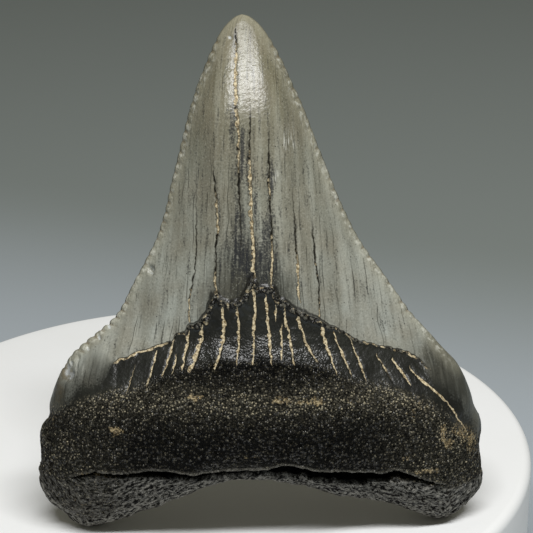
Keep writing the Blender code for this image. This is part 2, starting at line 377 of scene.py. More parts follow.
def lumps(points, size, seed):
    """Value noise from -1 to 1: corner numbers of cells `size` wide, blended smoothly."""
    place = points / size
    cell = np.floor(place).astype(np.int64)
    t = place - cell
    t = t * t * t * (t * (t * 6 - 15) + 10)
    total = np.zeros(len(points))
    for corner in np.ndindex(2, 2, 2):
        weight = np.prod(np.where(np.array(corner), t, 1 - t), axis=1)
        total += weight * scatter(cell + np.array(corner), seed)
    return total * 2 - 1


def layered(points, size, seed, layers=3):
    """Noise of several sizes: each layer is half as wide and half as strong as the last."""
    total = np.zeros(len(points))
    for layer in range(layers):
        total += lumps(points, size / 2**layer, seed + layer) / 2**layer
    return total / (2 - 2 ** (1 - layers))


def pebbles(points, size, seed):
    """Distance to the nearest of the points strewn one to a cell, in cell widths."""
    place = points / size
    cell = np.floor(place).astype(np.int64)
    nearest = np.full(len(points), 9.0)
    for step in np.ndindex(3, 3, 3):
        other = cell + np.array(step) - 1
        centre = other + np.stack([scatter(other, seed + axis) for axis in range(3)], axis=1)
        nearest = np.minimum(nearest, np.linalg.norm(place - centre, axis=1))
    return nearest


def blots(x, z, spots):
    """Sum of soft round spots: strength times exp(-(dx/rx)^2 - (dz/rz)^2)."""
    total = np.zeros(len(x))
    for spot_x, spot_z, reach_x, reach_z, strength in spots:
        away = ((x - spot_x) / reach_x) ** 2 + ((z - spot_z) / reach_z) ** 2
        total += strength * np.exp(-away)
    return total


# The tooth's smooth shape -----------------------------------------------------------------


def smooth_tooth(u, h, face):
    """Points of the smooth tooth for arrays of u across (-1 to 1) and edge height h.

    The front view runs straight from edge to edge, plus the underside's own outline, which
    fades out upwards as a falling square. The depth is the middle sheet plus or minus the
    thickness times (1 - |u|^a)^(1/b), blended from a fat root section to a lens crown
    section. `face` is -1 on the front and 1 on the back.
    """
    edges = at_heights(SIDES, h)
    share = (u + 1) / 2
    x = edges[:, 0] * (1 - share) + edges[:, 1] * share
    lengths = np.hypot(*np.diff(np.array(UNDERSIDE), axis=0).T)
    along = np.concatenate([[0.0], np.cumsum(lengths)]) / lengths.sum()
    under = through_points(UNDERSIDE, np.interp(share, along, np.arange(len(UNDERSIDE))))
    foot = SIDES[0]
    fade = np.clip(1 - (h - foot[0]) / ARCH_FADE, 0, 1) ** 2
    straight = foot[1] * (1 - share) + foot[2] * share
    x = x + fade * (under[:, 0] - straight)
    z = h + fade * (under[:, 1] - foot[0])

    crown = ease(h, ROOT_TOP, CROWN_FOOT)
    tip = ease(h, TIP_FROM, TIP_TO)
    a, b = (
        root + (middle - root) * crown + (top - middle) * tip
        for root, middle, top in zip(ROOT_SECTION, CROWN_SECTION, TIP_SECTION)
    )
    section = np.clip(1 - np.abs(u) ** a, 0, 1) ** (1 / b)
    rise = np.clip((h - foot[0]) / UNDERSIDE_ROUNDING, 0, 1)
    rounding = (1 - (1 - rise) ** UNDERSIDE_POWER) ** (1 / UNDERSIDE_POWER)
    stand_off = at_heights(THICKNESS, h)
    depth = np.where(face < 0, -stand_off[:, 0], stand_off[:, 1])
    middle = FOOT_Y + LEAN_BACK * np.clip(z / SIDES[-1][0], 0, None) ** LEAN_POWER
    y = middle + TURN_SLOPE * x + depth * section * rounding
    return np.stack([x, y, z], axis=1)


def row_heights():
    """Heights of the rows: even steps of the longest way up, so close where it is round."""
    foot, tip = SIDES[0][0], SIDES[-1][0]
    turn = np.linspace(0.02, math.pi / 2, 220)
    low = foot + UNDERSIDE_ROUNDING * (1 - np.cos(turn))
    high = np.linspace(low[-1], tip - 0.02, 900)[1:]
    fine = np.concatenate([low, high])
    longest = np.zeros(len(fine) - 1)
    for u in (-0.8, -0.4, 0.0, 0.45, 0.8):
        for face in (-1, 1):
            line = smooth_tooth(np.full(len(fine), u), fine, np.full(len(fine), face))
            longest = np.maximum(longest, np.linalg.norm(np.diff(line, axis=0), axis=1))
    way = np.concatenate([[0.0], np.cumsum(longest)])
    return np.interp(np.linspace(0, way[-1], int(way[-1] / ROW_STEP)), way, fine)


def even_steps(h, face, step):
    """Values of u from -1 to 1 at even distances about `step` apart along one row."""
    fine = np.sin(np.linspace(-math.pi / 2, math.pi / 2, 241))
    line = smooth_tooth(fine, np.full(len(fine), h), np.full(len(fine), face))
    way = np.concatenate([[0.0], np.cumsum(np.linalg.norm(np.diff(line, axis=0), axis=1))])
    count = max(6, int(round(way[-1] / step)))
    return np.interp(np.linspace(0, way[-1], count + 1), way, fine)


def stitch(low, low_share, high, high_share):
    """Triangles between two runs of points, taking the next step of whichever run lags."""
    low_mid = (low_share[1:] + low_share[:-1]) / 2
    high_mid = (high_share[1:] + high_share[:-1]) / 2
    upper = np.searchsorted(high_mid, low_mid, "left")
    lower = np.searchsorted(low_mid, high_mid, "right")
    return np.concatenate(
        [
            np.stack([low[:-1], low[1:], high[upper]], axis=1),
            np.stack([low[lower], high[1:], high[:-1]], axis=1),
        ]
    )


def tooth_grid():
    """u, h and face of every point, and the triangles of the closed tooth.

    Each row is a closed loop: along the front from the left edge to the right edge, and back
    along the back. Neighbouring loops are stitched, and the two end loops are closed by
    stitching their front to their back.
    """
    across, height, side, triangles = [], [], [], []
    start = 0
    below = None
    runs = []
    for h in row_heights():
        front = even_steps(h, -1, FRONT_STEP)
        back = even_steps(h, 1, BACK_STEP)[::-1]
        loop = np.concatenate([front, back[1:-1]])
        across.append(loop)
        height.append(np.full(len(loop), h))
        side.append(np.where(np.arange(len(loop)) < len(front), -1, 1))
        index = np.append(np.arange(start, start + len(loop)), start)
        share = np.concatenate(
            [np.linspace(0, 0.5, len(front)), np.linspace(0.5, 1, len(back))[1:]]
        )
        runs.append((index[: len(front)], share[: len(front)] * 2, index[len(front) - 1 :][::-1]))
        if below is not None:
            triangles.append(stitch(*below, index, share))
        below = (index, share)
        start += len(loop)
    front, front_share, back = runs[0]
    triangles.append(stitch(back, np.linspace(0, 1, len(back)), front, front_share))
    front, front_share, back = runs[-1]
    triangles.append(stitch(front, front_share, back, np.linspace(0, 1, len(back))))
    return (
        np.concatenate(across),
        np.concatenate(height),
        np.concatenate(side),
        np.concatenate(triangles),
    )


def surface_normals(points, triangles):
    """Unit normals at the points: the sum of the areas' normals around each."""
    a, b, c = (points[triangles[:, corner]] for corner in range(3))
    facing = np.cross(b - a, c - a)
    normals = np.zeros_like(points)
    for corner in range(3):
        np.add.at(normals, triangles[:, corner], facing)
    return normals / np.linalg.norm(normals, axis=1)[:, None]


# Features of the tooth --------------------------------------------------------------------


def above_line(x, z, line):
    """Signed distance above a line of (x, z): the height above it times its slope's cosine."""
    line = np.array(line)
    height = np.interp(x, line[:, 0], line[:, 1])
    rise = np.interp(x + 0.1, line[:, 0], line[:, 1]) - np.interp(x - 0.1, line[:, 0], line[:, 1])
    return (z - height) / np.hypot(1, rise / 0.2)


def crack_field(x, z, cracks):
    """Cracks as a field with crack number n where it equals n.

    Returns, at each point, the field, its mm per whole number, and the half width and sand
    share of the nearest crack, which is 0 wide beyond its ends and 0.8 mm away from it.
    """
    lines = []
    for crack in cracks:
        table = np.array(crack)[::-1]
        x_at, wide, sand = (np.interp(z, table[:, 1], table[:, k]) for k in (0, 2, 3))
        inside = ease(z, table[0, 1] - 0.15, table[0, 1]) * (
            1 - ease(z, table[-1, 1], table[-1, 1] + 0.15)
        )
        lines.append(np.stack([x_at, wide * inside, sand]))
    lines = np.stack(lines)
    places = np.maximum.accumulate(lines[:, 0] + 1e-3 * np.arange(len(lines))[:, None], axis=0)
    first, last = places[:1] - 2.0, places[-1:] + 2.0
    places = np.concatenate([first, places, last])
    passed = np.clip((places < x).sum(axis=0), 1, len(places) - 1)
    column = np.arange(len(x))
    left, right = places[passed - 1, column], places[passed, column]
    gap = np.maximum(right - left, 0.05)
    field = passed - 1 + (x - left) / gap
    nearest = np.clip(np.round(field).astype(int) - 1, 0, len(lines) - 1)
    away = np.abs(x - lines[nearest, 0, column])
    wide = lines[nearest, 1, column] * (away < 0.8)
    return [field, gap, wide, lines[nearest, 2, column]]


def crack_depth(field, gap, wide):
    """Share of a crack's depth at each point: 1 on its middle line, 0 past its width."""
    away = np.abs(field - np.round(field)) * gap
    return np.clip(1 - away / np.maximum(wide * 1.6, 1e-6), 0, 1) * (wide > 0.005)


def edge_lengths(heights):
    """Way along the left and the right outline from the tip down, at the given heights."""
    fine = np.linspace(SIDES[-1][0], SIDES[0][0], 3000)
    edges = at_heights(SIDES, fine)
    ways = []
    for column in range(2):
        steps = np.hypot(np.diff(fine), np.diff(edges[:, column]))
        way = np.concatenate([[0.0], np.cumsum(steps)])
        ways.append(np.interp(-heights, -fine, way))
    return ways


def serrations(u, h):
    """Notches of the cutting edges: their depth from 0 to 1, and each point's way inward.

    A notch is (0.5 + 0.5 cos(2 pi way / pitch))^2.5, so the serrations are wide and round and
    the notches narrow. The pitch drifts a little, and some serrations are worn down.
    """
    left_way, right_way = edge_lengths(h)
    left = u < 0
    way = np.where(left, left_way, right_way)
    row = np.stack([way, np.where(left, 0.0, 50.0), np.zeros_like(way)], axis=1)
    phase = way / np.where(left, LEFT_PITCH, RIGHT_PITCH) + 0.3 * lumps(row, 4.0, 71)
    notch = (0.5 + 0.5 * np.cos(2 * math.pi * phase)) ** 2.5
    fresh = 0.75 + 0.3 * (1 - ease(h, 21, 24)) * left
    notch = notch * np.clip(fresh + 0.5 * lumps(row, 1.1, 73), 0, 1)
    low = np.where(left, LEFT_SERRATED[0], RIGHT_SERRATED[0])
    high = np.where(left, LEFT_SERRATED[1], RIGHT_SERRATED[1])
    notch = notch * ease(h, low - 0.6, low + 0.6) * (1 - ease(h, high - 0.4, high + 0.4))
    edges = at_heights(SIDES, h)
    middle = edges.mean(axis=1)
    edge_x = np.where(left, edges[:, 0], edges[:, 1])
    inward = np.abs(edge_x - middle) * (1 - np.abs(u))
    return notch, inward


def edge_relief(points, u, h, z):
    """Relief of the cutting edges, point by point.

    Returns the valleys between the serrations, which are longer on the shoulders, the wear
    of the outline in millimetres, the mask of the serrated rim, and the way inward.
    """
    notch, inward = serrations(u, h)
    shoulder = 1 - ease(z, *SHOULDER_END)
    below_tip = 1 - ease(z, *EDGE_END)
    reach = SERRATION_REACH + (SHOULDER_REACH - SERRATION_REACH) * shoulder
    valley = notch * np.exp(-(((inward - 0.1) / reach) ** 2))
    serrated = np.exp(-(((inward - 0.25) / 0.3) ** 2)) * ease(z, 15, 18) * below_tip
    worn = np.clip(0.08 * layered(points, 1.4, 61), -0.02, 0.12)
    worn = worn * np.exp(-((inward / 0.5) ** 2)) * ease(z, 14, 17) * below_tip
    return valley, worn, serrated, inward


def tooth_cracks(points, x, z, front):
    """Fields of the enamel's and of the collar's cracks, as wide as they show."""
    sway = x + 0.13 * layered(points, 0.8, 81) + 0.05 * lumps(points, 0.3, 85)
    ahead = crack_field(sway, z, ENAMEL_CRACKS)
    behind = crack_field(sway, z, BACK_CRACKS)
    enamel = [np.where(front, f, b) for f, b in zip(ahead, behind)]
    collar = crack_field(sway, z, COLLAR_CRACKS)
    enamel[2] = enamel[2] * np.interp(enamel[3], (0, 1), ENAMEL_CRACK_WIDTH)
    collar[2] = collar[2] * np.interp(collar[3], (0, 1), COLLAR_CRACK_WIDTH) * front
    return enamel, collar


def root_split(points, x, z, front):
    """The open split along the root, point by point.

    Returns the way down from its upper lip, the height of its gap, where it is open, and
    the masks of the gap and of the lip above it.
    """
    table = np.array(SPLIT)
    lip_z = np.interp(x, table[:, 0], table[:, 1]) + 0.10 * layered(points, 0.9, 31)
    gap = np.interp(x, table[:, 0], table[:, 2]) * (1 + 0.3 * lumps(points, 0.6, 33))
    below = lip_z - z
    opened = ease(gap, 0.02, 0.08) * front
    split = ease(below, -0.04, 0.06) * (1 - ease(below, gap - 0.06, gap + 0.06)) * opened
    lip = np.exp(-(((below + 0.16) / 0.13) ** 2)) * opened
    return below, gap, opened, split, lip


def edge_chips(points, x, z, front):
    """Depth of the chips near the left cutting edge, and their mask, whose pale colour is partly
    painted glint.
    """
    scooped, chipped = np.zeros(len(x)), np.zeros(len(x))
    for chip_x, chip_z, radius, depth in CHIPS:
        away = np.hypot(x - chip_x, z - chip_z) / radius + 0.25 * lumps(points, 0.35, 57)
        scoop = front * (1 - ease(away, 0.3, 1.0))
        scooped += depth * scoop
        chipped = np.maximum(chipped, scoop)
    return scooped, chipped


def shape_tooth(u, h, face, triangles):
    """Final points of the tooth, what its material reads there, and its flow coordinates.

    The smooth tooth is pushed along its normals by the sum of its relief: the root's lumps,
    grains, pores and bony ridges, its rim, the shelf under the collar, the ledge under the
    split, the crust at the enamel's end, the cracks, the split, the chips and the valleys
    between the serrations. The outline is pushed in at those valleys too.
    """
    points = smooth_tooth(u, h, face)
    normals = surface_normals(points, triangles)
    x, z = points[:, 0], points[:, 2]
    front = face < 0

    # The enamel's end: sharp and crusted in the middle of the front, soft further out.
    ragged = layered(points, 1.1, 11) * 0.16 + lumps(points, 0.32, 15) * 0.07
    front_end = above_line(x, z, ENAMEL_END) + ragged
    back_end = above_line(x, z, ENAMEL_END_BACK) + 2 * ragged
    enamel_mm = np.where(front, front_end, back_end)
    crust = ease(x, SHARP_END_FROM - 0.3, SHARP_END_FROM + 0.2)
    crust = crust * (1 - ease(x, SHARP_END_TO - 0.5, SHARP_END_TO + 0.5)) * front
    outside = 1 - ease(x, SHARP_END_FROM - 1.5, SHARP_END_FROM)
    outside = np.maximum(outside, ease(x, SHARP_END_TO - 1, SHARP_END_TO + 0.8)) * front
    soft = SHARP_END + (SOFT_END - SHARP_END) * outside

    # The collar between the enamel and the grainy root.
    start = above_line(x, z, ROOT_START) + 0.5 * layered(points, 2.0, 21)
    grainy = np.where(front, 1 - ease(start, -0.7, 0.4), 1 - ease(back_end, -0.5, 0.1))
    collar = (front_end < 0) & front
    middle_collar = ease(x, -8.0, -5.0) * (1 - ease(x, 4.5, 8.5))
    crumbly = 0.3 * collar * middle_collar * ease(start, 4.5, 0.5)
    coarse = np.maximum(grainy, crumbly)

    # Relief of the root: lumps, grains and pores.
    push = grainy * (0.20 * layered(points, 5.0, 41) + 0.10 * layered(points, 1.7, 43))
    hollow = ease(pebbles(points, 0.42, 45), 0.45, 0.85)
    push += coarse * 0.05 * (0.5 - hollow)
    push -= grainy * 0.16 * (1 - ease(pebbles(points, 1.1, 47), 0.10, 0.30))

    # The open split, and the rough bone of the lobes under it, with ridges along the arch.
    below_lip, gap, opened, split, lip = root_split(points, x, z, front)
    lobe = ease(below_lip - gap, 0.0, 0.5) * front + (1 - ease(z, 3, 8)) * ~front
    underneath = ease(-normals[:, 2], 0.25, 0.8)
    arch = np.array(UNDERSIDE)
    above_arch = z - np.interp(x, arch[:, 0], arch[:, 1])
    along = np.stack([0.35 * x, 0.7 * points[:, 1], above_arch], axis=1)
    push += lobe * (0.16 * layered(along, 0.9, 49) + 0.11 * lumps(along, 0.32, 51))
    push -= lobe * 0.14 * (1 - ease(pebbles(points, 0.65, 55), 0.18, 0.40))
    bony = lobe * np.clip(ease(x, -16, -12) + 1 - ease(above_arch, 1.0, 2.5), 0.4, 1)

    # The root's rim and shelf under the collar, and the split's lip, depth and ledge.
    rim = ease(z, 9.0, 13.0) * (1 - ease(z, 13.8, 17.5))
    push += front * (0.25 * rim + 0.15 * grainy * ease(z, 12, 15))
    shelf = (1 - ease(start, -0.3, 2.2)) * ease(x, -11, -7) * (1 - ease(x, 7, 11))
    push += 0.40 * front * shelf
    ledge = ease(below_lip, 0.0, 0.2) * (1 - ease(below_lip, gap + 0.4, gap + 2.6))
    push += 0.10 * lip - SPLIT_DEPTH * split - 0.12 * opened * ledge

    # The crust along the enamel's end: a thin thread at the sides, a knobbly cord in the middle.
    knobbly = ease(x, -8.0, -5.0) * (1 - ease(x, 3.5, 7.5))
    crust_wide = 0.12 + 0.22 * knobbly - 0.03 * ease(np.abs(x), 6, 8)
    off_crust = (enamel_mm + 0.08 + 0.10 * knobbly) / crust_wide
    knobs = np.minimum(0.75 + (0.3 + 0.6 * knobbly) * lumps(points, 0.38, 53), 1.15)
    ridge = np.exp(-(off_crust**2)) * knobs
    groove = np.exp(-((off_crust - 1.7) ** 2))
    push += crust * ((0.13 + 0.17 * knobbly) * ridge - 0.08 * groove)
    push -= collar * crust * 0.08
    push += collar * (0.03 + 0.05 * middle_collar) * layered(points, 0.65, 87, 2)

    enamel_crack, collar_crack = tooth_cracks(points, x, z, front)
    in_enamel = enamel_mm > 0
    push -= 0.07 * in_enamel * crack_depth(*enamel_crack[:3])
    push -= 0.09 * ~in_enamel * crack_depth(*collar_crack[:3])
    scooped, chipped = edge_chips(points, x, z, front)
    push -= scooped

    # The cutting edges. All relief is less where the tooth stands on the disc.
    valley, worn, serrated, inward = edge_relief(points, u, h, z)
    push -= (0.08 + 0.05 * (1 - ease(z, *SHOULDER_END))) * valley
    push *= 0.2 + 0.8 * ease(z, 0.0, 1.6)
    shaped = points + normals * push[:, None]
    shaped[:, 0] -= np.sign(u) * (SERRATION_DEPTH * valley + worn)

    # Dust: a band under the collar, which also paints the light that the root catches where it
    # turns up there; more towards the sides and the right, and more underneath.
    dust = 0.02 + 0.53 * np.exp(-(((z - 15.6) / 1.8) ** 2)) + 0.31 * ease(np.abs(x), 10, 18)
    dust = dust + 0.16 * ease(x, 7, 12)
    looks = {
        "enamel": enamel_mm / soft,
        "enamel_mm": enamel_mm,
        "crust": crust,
        "off_crust": off_crust,
        "knobbly": knobbly * crust,
        "crust_sand": 0.36 + 0.24 * (1 - ease(x, -10, -7)) + 0.10 * ease(x, 5, 8),
        "grainy": grainy,
        "coarse": coarse,
        "hollow": hollow,
        "dust": np.where(front, dust, 0.3) + 0.2 * underneath,
        "porous": np.maximum(0.8 * underneath * (1 - lobe), 0.85 * bony),
        "inward": inward + 3.0 * (1 - ease(h, 12, 16)),
        "valley": np.maximum(valley, blots(x, z, BROWN_EDGES) * front),
        "serrated": serrated,
        "chipped": chipped,
        "above_arch": above_arch,
        "split": split,
        "lip": lip,
        "sand": blots(x, z, SAND_PATCHES) * front,
        "stain": blots(x, z, STAINS) * front,
        "shade": blots(x, z, SHADES) * front,
        "scratched": blots(x, z, SCRATCHES_AND_HIGHLIGHT) * front,
        "centre": np.exp(-(((x + 0.8) / 4.2) ** 2)) * (1 - ease(z, 25, 33)) * front,
        "enamel_crack": np.stack(enamel_crack[:3], axis=1),
        "enamel_sand": enamel_crack[3],
        "collar_crack": np.stack(collar_crack[:3], axis=1),
        "collar_sand": collar_crack[3],
    }
    half_width = np.abs(at_heights(SIDES, h) @ [-0.5, 0.5])
    flow = np.stack([(x + 1.0) / (half_width / 8) ** 0.25, z], axis=1)
    return shaped, looks, flow


def mesh_piece(name, points, faces):
    """Object with a smooth-shaded mesh from points in millimetres in the object's frame."""
    mesh = bpy.data.meshes.new(name)
    mesh.from_pydata((points * MM).tolist(), [], faces)
    mesh.validate()
    mesh.shade_smooth()
    piece = bpy.data.objects.new(name, mesh)
    bpy.context.scene.collection.objects.link(piece)
    return piece


def make_tooth():
    """The whole tooth as one closed mesh, with the values that its material reads."""
    u, h, face, triangles = tooth_grid()
    points, looks, flow = shape_tooth(u, h, face, triangles)
    points += [TOOTH_X, TOOTH_Y, DISC_TOP]
    piece = mesh_piece("fossil_tooth", points, triangles.tolist())
    mesh = piece.data
    for name, values in looks.items():
        kind = "FLOAT" if values.ndim == 1 else "FLOAT_VECTOR"
        field = "value" if values.ndim == 1 else "vector"
        attribute = mesh.attributes.new(name, kind, "POINT")
        attribute.data.foreach_set(field, values.astype(np.float32).ravel())
    corner = np.zeros(len(mesh.loops), dtype=np.int32)
    mesh.loops.foreach_get("vertex_index", corner)
    layer = mesh.uv_layers.new(name="flow")
    layer.data.foreach_set("uv", flow[corner].astype(np.float32).ravel())
    mesh.materials.append(fossil_material())
    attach(piece, "root")
    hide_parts("tooth")


def make_disc():
    """The disc, turned from a profile: flat top and bottom, straight side, quarter-round rims."""
    turn = np.linspace(0, math.pi / 2, 13)
    flat_radius = DISC_RADIUS - DISC_ROUNDING
    rim = [flat_radius + DISC_ROUNDING * np.sin(turn), DISC_ROUNDING * (1 - np.cos(turn))]
    lower_rim = np.stack(rim, axis=1)
    upper_rim = lower_rim[::-1] * [1, -1] + [0, DISC_TOP]
    flat = np.linspace(0, flat_radius, 24)[1:-1]
    wall = np.linspace(DISC_ROUNDING, DISC_TOP - DISC_ROUNDING, 8)[1:-1]
    underside = np.stack([flat, np.zeros_like(flat)], axis=1)
    side = np.stack([np.full_like(wall, DISC_RADIUS), wall], axis=1)
    upper_side = np.stack([flat[::-1], np.full_like(flat, DISC_TOP)], axis=1)
    profile = np.concatenate([underside, lower_rim, side, upper_rim, upper_side])

    # Rings of points, joined by quads, and a fan of triangles around each middle.
    around = 256
    angle = np.arange(around) * 2 * math.pi / around
    radius, height = profile[:, 0, None], profile[:, 1, None]
    rings = np.broadcast_arrays(radius * np.cos(angle), radius * np.sin(angle), height)
    rings = np.stack(rings, axis=-1).reshape(-1, 3)
    points = np.concatenate([rings, [[0.0, 0.0, 0.0], [0.0, 0.0, DISC_TOP]]])
    low = np.arange(len(rings) - around)
    step = np.where(low % around == around - 1, 1 - around, 1)
    quads = np.stack([low, low + step, low + step + around, low + around], axis=1)
    first = np.arange(around)
    last = first + len(rings) - around
    bottom = np.stack([np.roll(first, -1), first, np.full(around, len(rings))], axis=1)
    top = np.stack([last, np.roll(last, -1), np.full(around, len(rings) + 1)], axis=1)
    piece = mesh_piece("white_disc", points, quads.tolist() + bottom.tolist() + top.tolist())
    piece.data.materials.append(disc_material())
    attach(piece, "root")
    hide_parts("display_disc")


# Materials --------------------------------------------------------------------------------


def colour(code):
    """Linear colour from an sRGB hex value: ((c + 0.055) / 1.055)^2.4 above 0.04045."""
    parts = [int(code[k : k + 2], 16) / 255 for k in (0, 2, 4)]
    linear = [((c + 0.055) / 1.055) ** 2.4 if c > 0.04045 else c / 12.92 for c in parts]
    return (*linear, 1.0)


def add_node(tree, kind, *inputs, output=0, **settings):
    """Add a shader node with its settings, feed its sockets in order, return an output.

    An input is a value or another node's output, and None leaves the socket as it is.
    """
    node = tree.nodes.new("ShaderNode" + kind)
    for name, value in settings.items():
        setattr(node, name, value)
    for socket, value in zip([s for s in node.inputs if s.enabled], inputs):
        if isinstance(value, bpy.types.NodeSocket):
            tree.links.new(value, socket)
        elif value is not None:
            socket.default_value = value
    return [s for s in node.outputs if s.enabled][output]


def new_material(name):
    """Material with an empty tree that holds a Principled shader and its output."""
    material = bpy.data.materials.new(name)
    material.use_nodes = True
    tree = material.node_tree
    tree.nodes.clear()
    surface = add_node(tree, "BsdfPrincipled")
    end = tree.nodes.new("ShaderNodeOutputMaterial")
    tree.links.new(surface, end.inputs["Surface"])
    return material, partial(add_node, tree), surface.node


def crack_masks(node, name, wobble):
    """Masks of the fill and of the dark border of the cracks that a vector attribute holds.

    The attribute holds the crack field, its mm per whole number and the half width. The
    distance to the nearest crack is the field's distance to a whole number times its mm.
    """
    held = node("Attribute", attribute_name=name, output=1)
    field = node("SeparateXYZ", held)
    gap, wide = field.node.outputs[1], field.node.outputs[2]
    sway = node("MapRange", wobble, 0.0, 1.0, -0.13, 0.13)
    sway = node("Math", sway, gap, operation="DIVIDE")
    away = node("Math", field, sway)
    away = node("Math", away, 0.5, operation="PINGPONG")
    away = node("Math", away, gap, operation="MULTIPLY")
    uneven = node("MapRange", wobble, 0.36, 0.62, 0.3, 1.05)
    inside = node("Math", wide, uneven, operation="MULTIPLY")
    inside = node("Math", inside, away, operation="SUBTRACT")
    present = node("MapRange", wide, 0.008, 0.03)
    fill = node("MapRange", inside, -0.02, 0.02)
    fill = node("Math", fill, present, operation="MULTIPLY")
    border = node("MapRange", inside, -0.09, -0.02)
    border = node("Math", border, present, operation="MULTIPLY")
    return fill, border


def hairlines(node, across, up, spacing, more):
    """Mask of upright hairlines about `spacing` apart in mm that come and go.

    Every column of the pattern holds one line, shifted sideways by the column's own number,
    and shows it where a noise along the line is high. `more` raises that noise.
    """
    place = node("TexCoord", output=3)
    drift = node("TexNoise", place, 1 / (3.5 * MM), 1.0)
    column = node("MapRange", drift, 0.0, 1.0, -0.6, 0.6)
    column = node("Math", node("Math", across, 1 / spacing, operation="MULTIPLY"), column)
    number = node("Math", column, operation="FLOOR")
    own = node("TexWhiteNoise", number, noise_dimensions="1D")
    middle = node("MapRange", own, 0.0, 1.0, 0.2, 0.8)
    away = node("Math", column, number, operation="SUBTRACT")
    away = node("Math", away, middle, operation="SUBTRACT")
    away = node("Math", away, operation="ABSOLUTE")
    line = node("MapRange", away, 0.05 / spacing, 0.015 / spacing)
    run = node("CombineXYZ", node("Math", number, 7.3, operation="MULTIPLY"), up, 0.0)
    run = node("Math", node("TexNoise", run, 0.22, 1.0), more)
    return node("Math", line, node("MapRange", run, 0.56, 0.66), operation="MULTIPLY")


def overlay(node, tint, layers):
    """Lay colours over one another.

    A layer is a source, the value at which it starts to show, the value at which it shows
    most, its share there, and its colour.
    """
    for source, start, full, most, code in layers:
        share = node("MapRange", source, start, full, 0.0, most)
        tint = node("Mix", share, tint, colour(code), data_type="RGBA")
    return tint


def sand_colour(node, noise):
    """Colour of the pale sand in the cracks and the crust."""
    return overlay(node, colour("7a694c"), [(noise["fine"], 0.36, 0.62, 1.0, "d8caa9")])


def enamel_colour(node, read, noise):
    """Colour of the enamel, in layers from the clouds to the chips, and its streaks."""
    place = node("TexCoord", output=3)
    height = node("SeparateXYZ", place, output=2)
    flow = node("UVMap", uv_map="flow")
    across = node("SeparateXYZ", flow)
    up = across.node.outputs[1]
    upright = node("Mapping", flow, None, None, (1.0, 0.10, 1.0))
    streak = node("TexNoise", upright, 1 / 0.28, 3.0)
    wide_streak = node("TexNoise", upright, 1 / 1.0, 2.0)
    pit = node("TexVoronoi", place, 1 / (0.9 * MM))

    # Smoky shades in the lower middle, darkest next to the enamel's end, and a painted shade on
    # the tip's left flank.
    smoke = node("MapRange", streak, 0.3, 0.65, 0.6, 1.5)
    smoke = node("Math", read("shade"), smoke, operation="MULTIPLY")
    centre = read("centre")
    shadow = node("MapRange", read("enamel_mm"), 3.5, 0.2)
    shadow = node("Math", shadow, centre, operation="MULTIPLY")

    # Upright hairlines, closer together in the lower middle.
    more = node("MapRange", centre, 0.0, 1.0, 0.0, 0.14)
    line = hairlines(node, across, up, 0.62, more)
    more = node("MapRange", centre, 0.0, 1.0, -0.06, 0.10)
    line = node("Math", line, hairlines(node, across, up, 0.27, more), operation="MAXIMUM")

    # Stains that break up into streaks and specks, and slanting scratches, whose pale colour also
    # paints a highlight on the left shoulder.
    stain = node("Math", read("stain"), 0.7, operation="MULTIPLY")
    stain = node("Math", streak, 1.8, stain, operation="MULTIPLY_ADD")
    stain = node("Math", noise["fine"], 1.6, stain, operation="MULTIPLY_ADD")
    slanting = node("Mapping", flow, None, (0.0, 0.0, 0.7), (1.0, 0.12, 1.0))
    scratch_and_highlight = node("MapRange", node("TexNoise", slanting, 1 / 0.16, 1.0), 0.5, 0.62)
    scratch_and_highlight = node("Math", scratch_and_highlight, read("scratched"), operation="MULTIPLY")

    # Painted glints on the crests, brown valleys, and chips whose pale colour is partly painted
    # glint, all broken up.
    crest_glint = node("MapRange", noise["small"], 0.48, 0.66)
    crest_glint = node("Math", crest_glint, read("serrated"), operation="MULTIPLY")
    valley = node("MapRange", noise["small"], 0.35, 0.6, 0.5, 1.3)
    valley = node("Math", read("valley"), valley, operation="MULTIPLY")
    chip_and_glint = node("MapRange", noise["small"], 0.35, 0.6, 0.2, 1.0)
    chip_and_glint = node("Math", read("chipped"), chip_and_glint, operation="MULTIPLY")

    tint = overlay(node, colour("9da19a"), (
        # Bluish grey shoulders turn olive towards the tip, with clouds and streaks.
        (height, 36 * MM, 58 * MM, 1.0, "757059"),
        (noise["broad"], 0.35, 0.65, 0.5, "817967"),
        (wide_streak, 0.42, 0.66, 0.5, "6f6d60"),
        (wide_streak, 0.5, 0.3, 0.3, "b3b5aa"),
        # Smoky shades, with the painted shade on the tip's left flank.
        (smoke, 0.05, 1.0, 0.85, "3a3a32"),
        (shadow, 0.05, 0.75, 0.85, "2b2a21"),
        # Fine streaks, grit, pinprick pits and hairlines.
        (streak, 0.5, 0.72, 0.4, "4b4a40"),
        (noise["fine"], 0.52, 0.72, 0.22, "4d4c42"),
        (noise["fine"], 0.44, 0.28, 0.22, "c9c9bd"),
        (pit, 0.095, 0.055, 0.75, "22211d"),
        (line, 0.0, 1.0, 0.75, "26251f"),
        # Blue-black stains, and pale scratches with a painted highlight on the left shoulder.
        (stain, 1.9, 2.45, 0.8, "24262c"),
        (scratch_and_highlight, 0.0, 1.0, 1.0, "dcdcd2"),
        # The cutting edge: a pale band, a thin dark rim, painted glints on the crests, brown
        # valleys, and chips whose pale colour is partly painted glint.
        (read("inward"), 1.1, 0.2, 0.4, "a5a28e"),
        (read("inward"), 0.16, 0.04, 0.3, "4e4c3f"),
        (crest_glint, 0.0, 1.0, 0.7, "cbcbc0"),
        (valley, 0.3, 0.9, 0.6, "63543a"),
        (chip_and_glint, 0.3, 0.8, 0.7, "c6cbcd"),
    ))
    return tint, streak


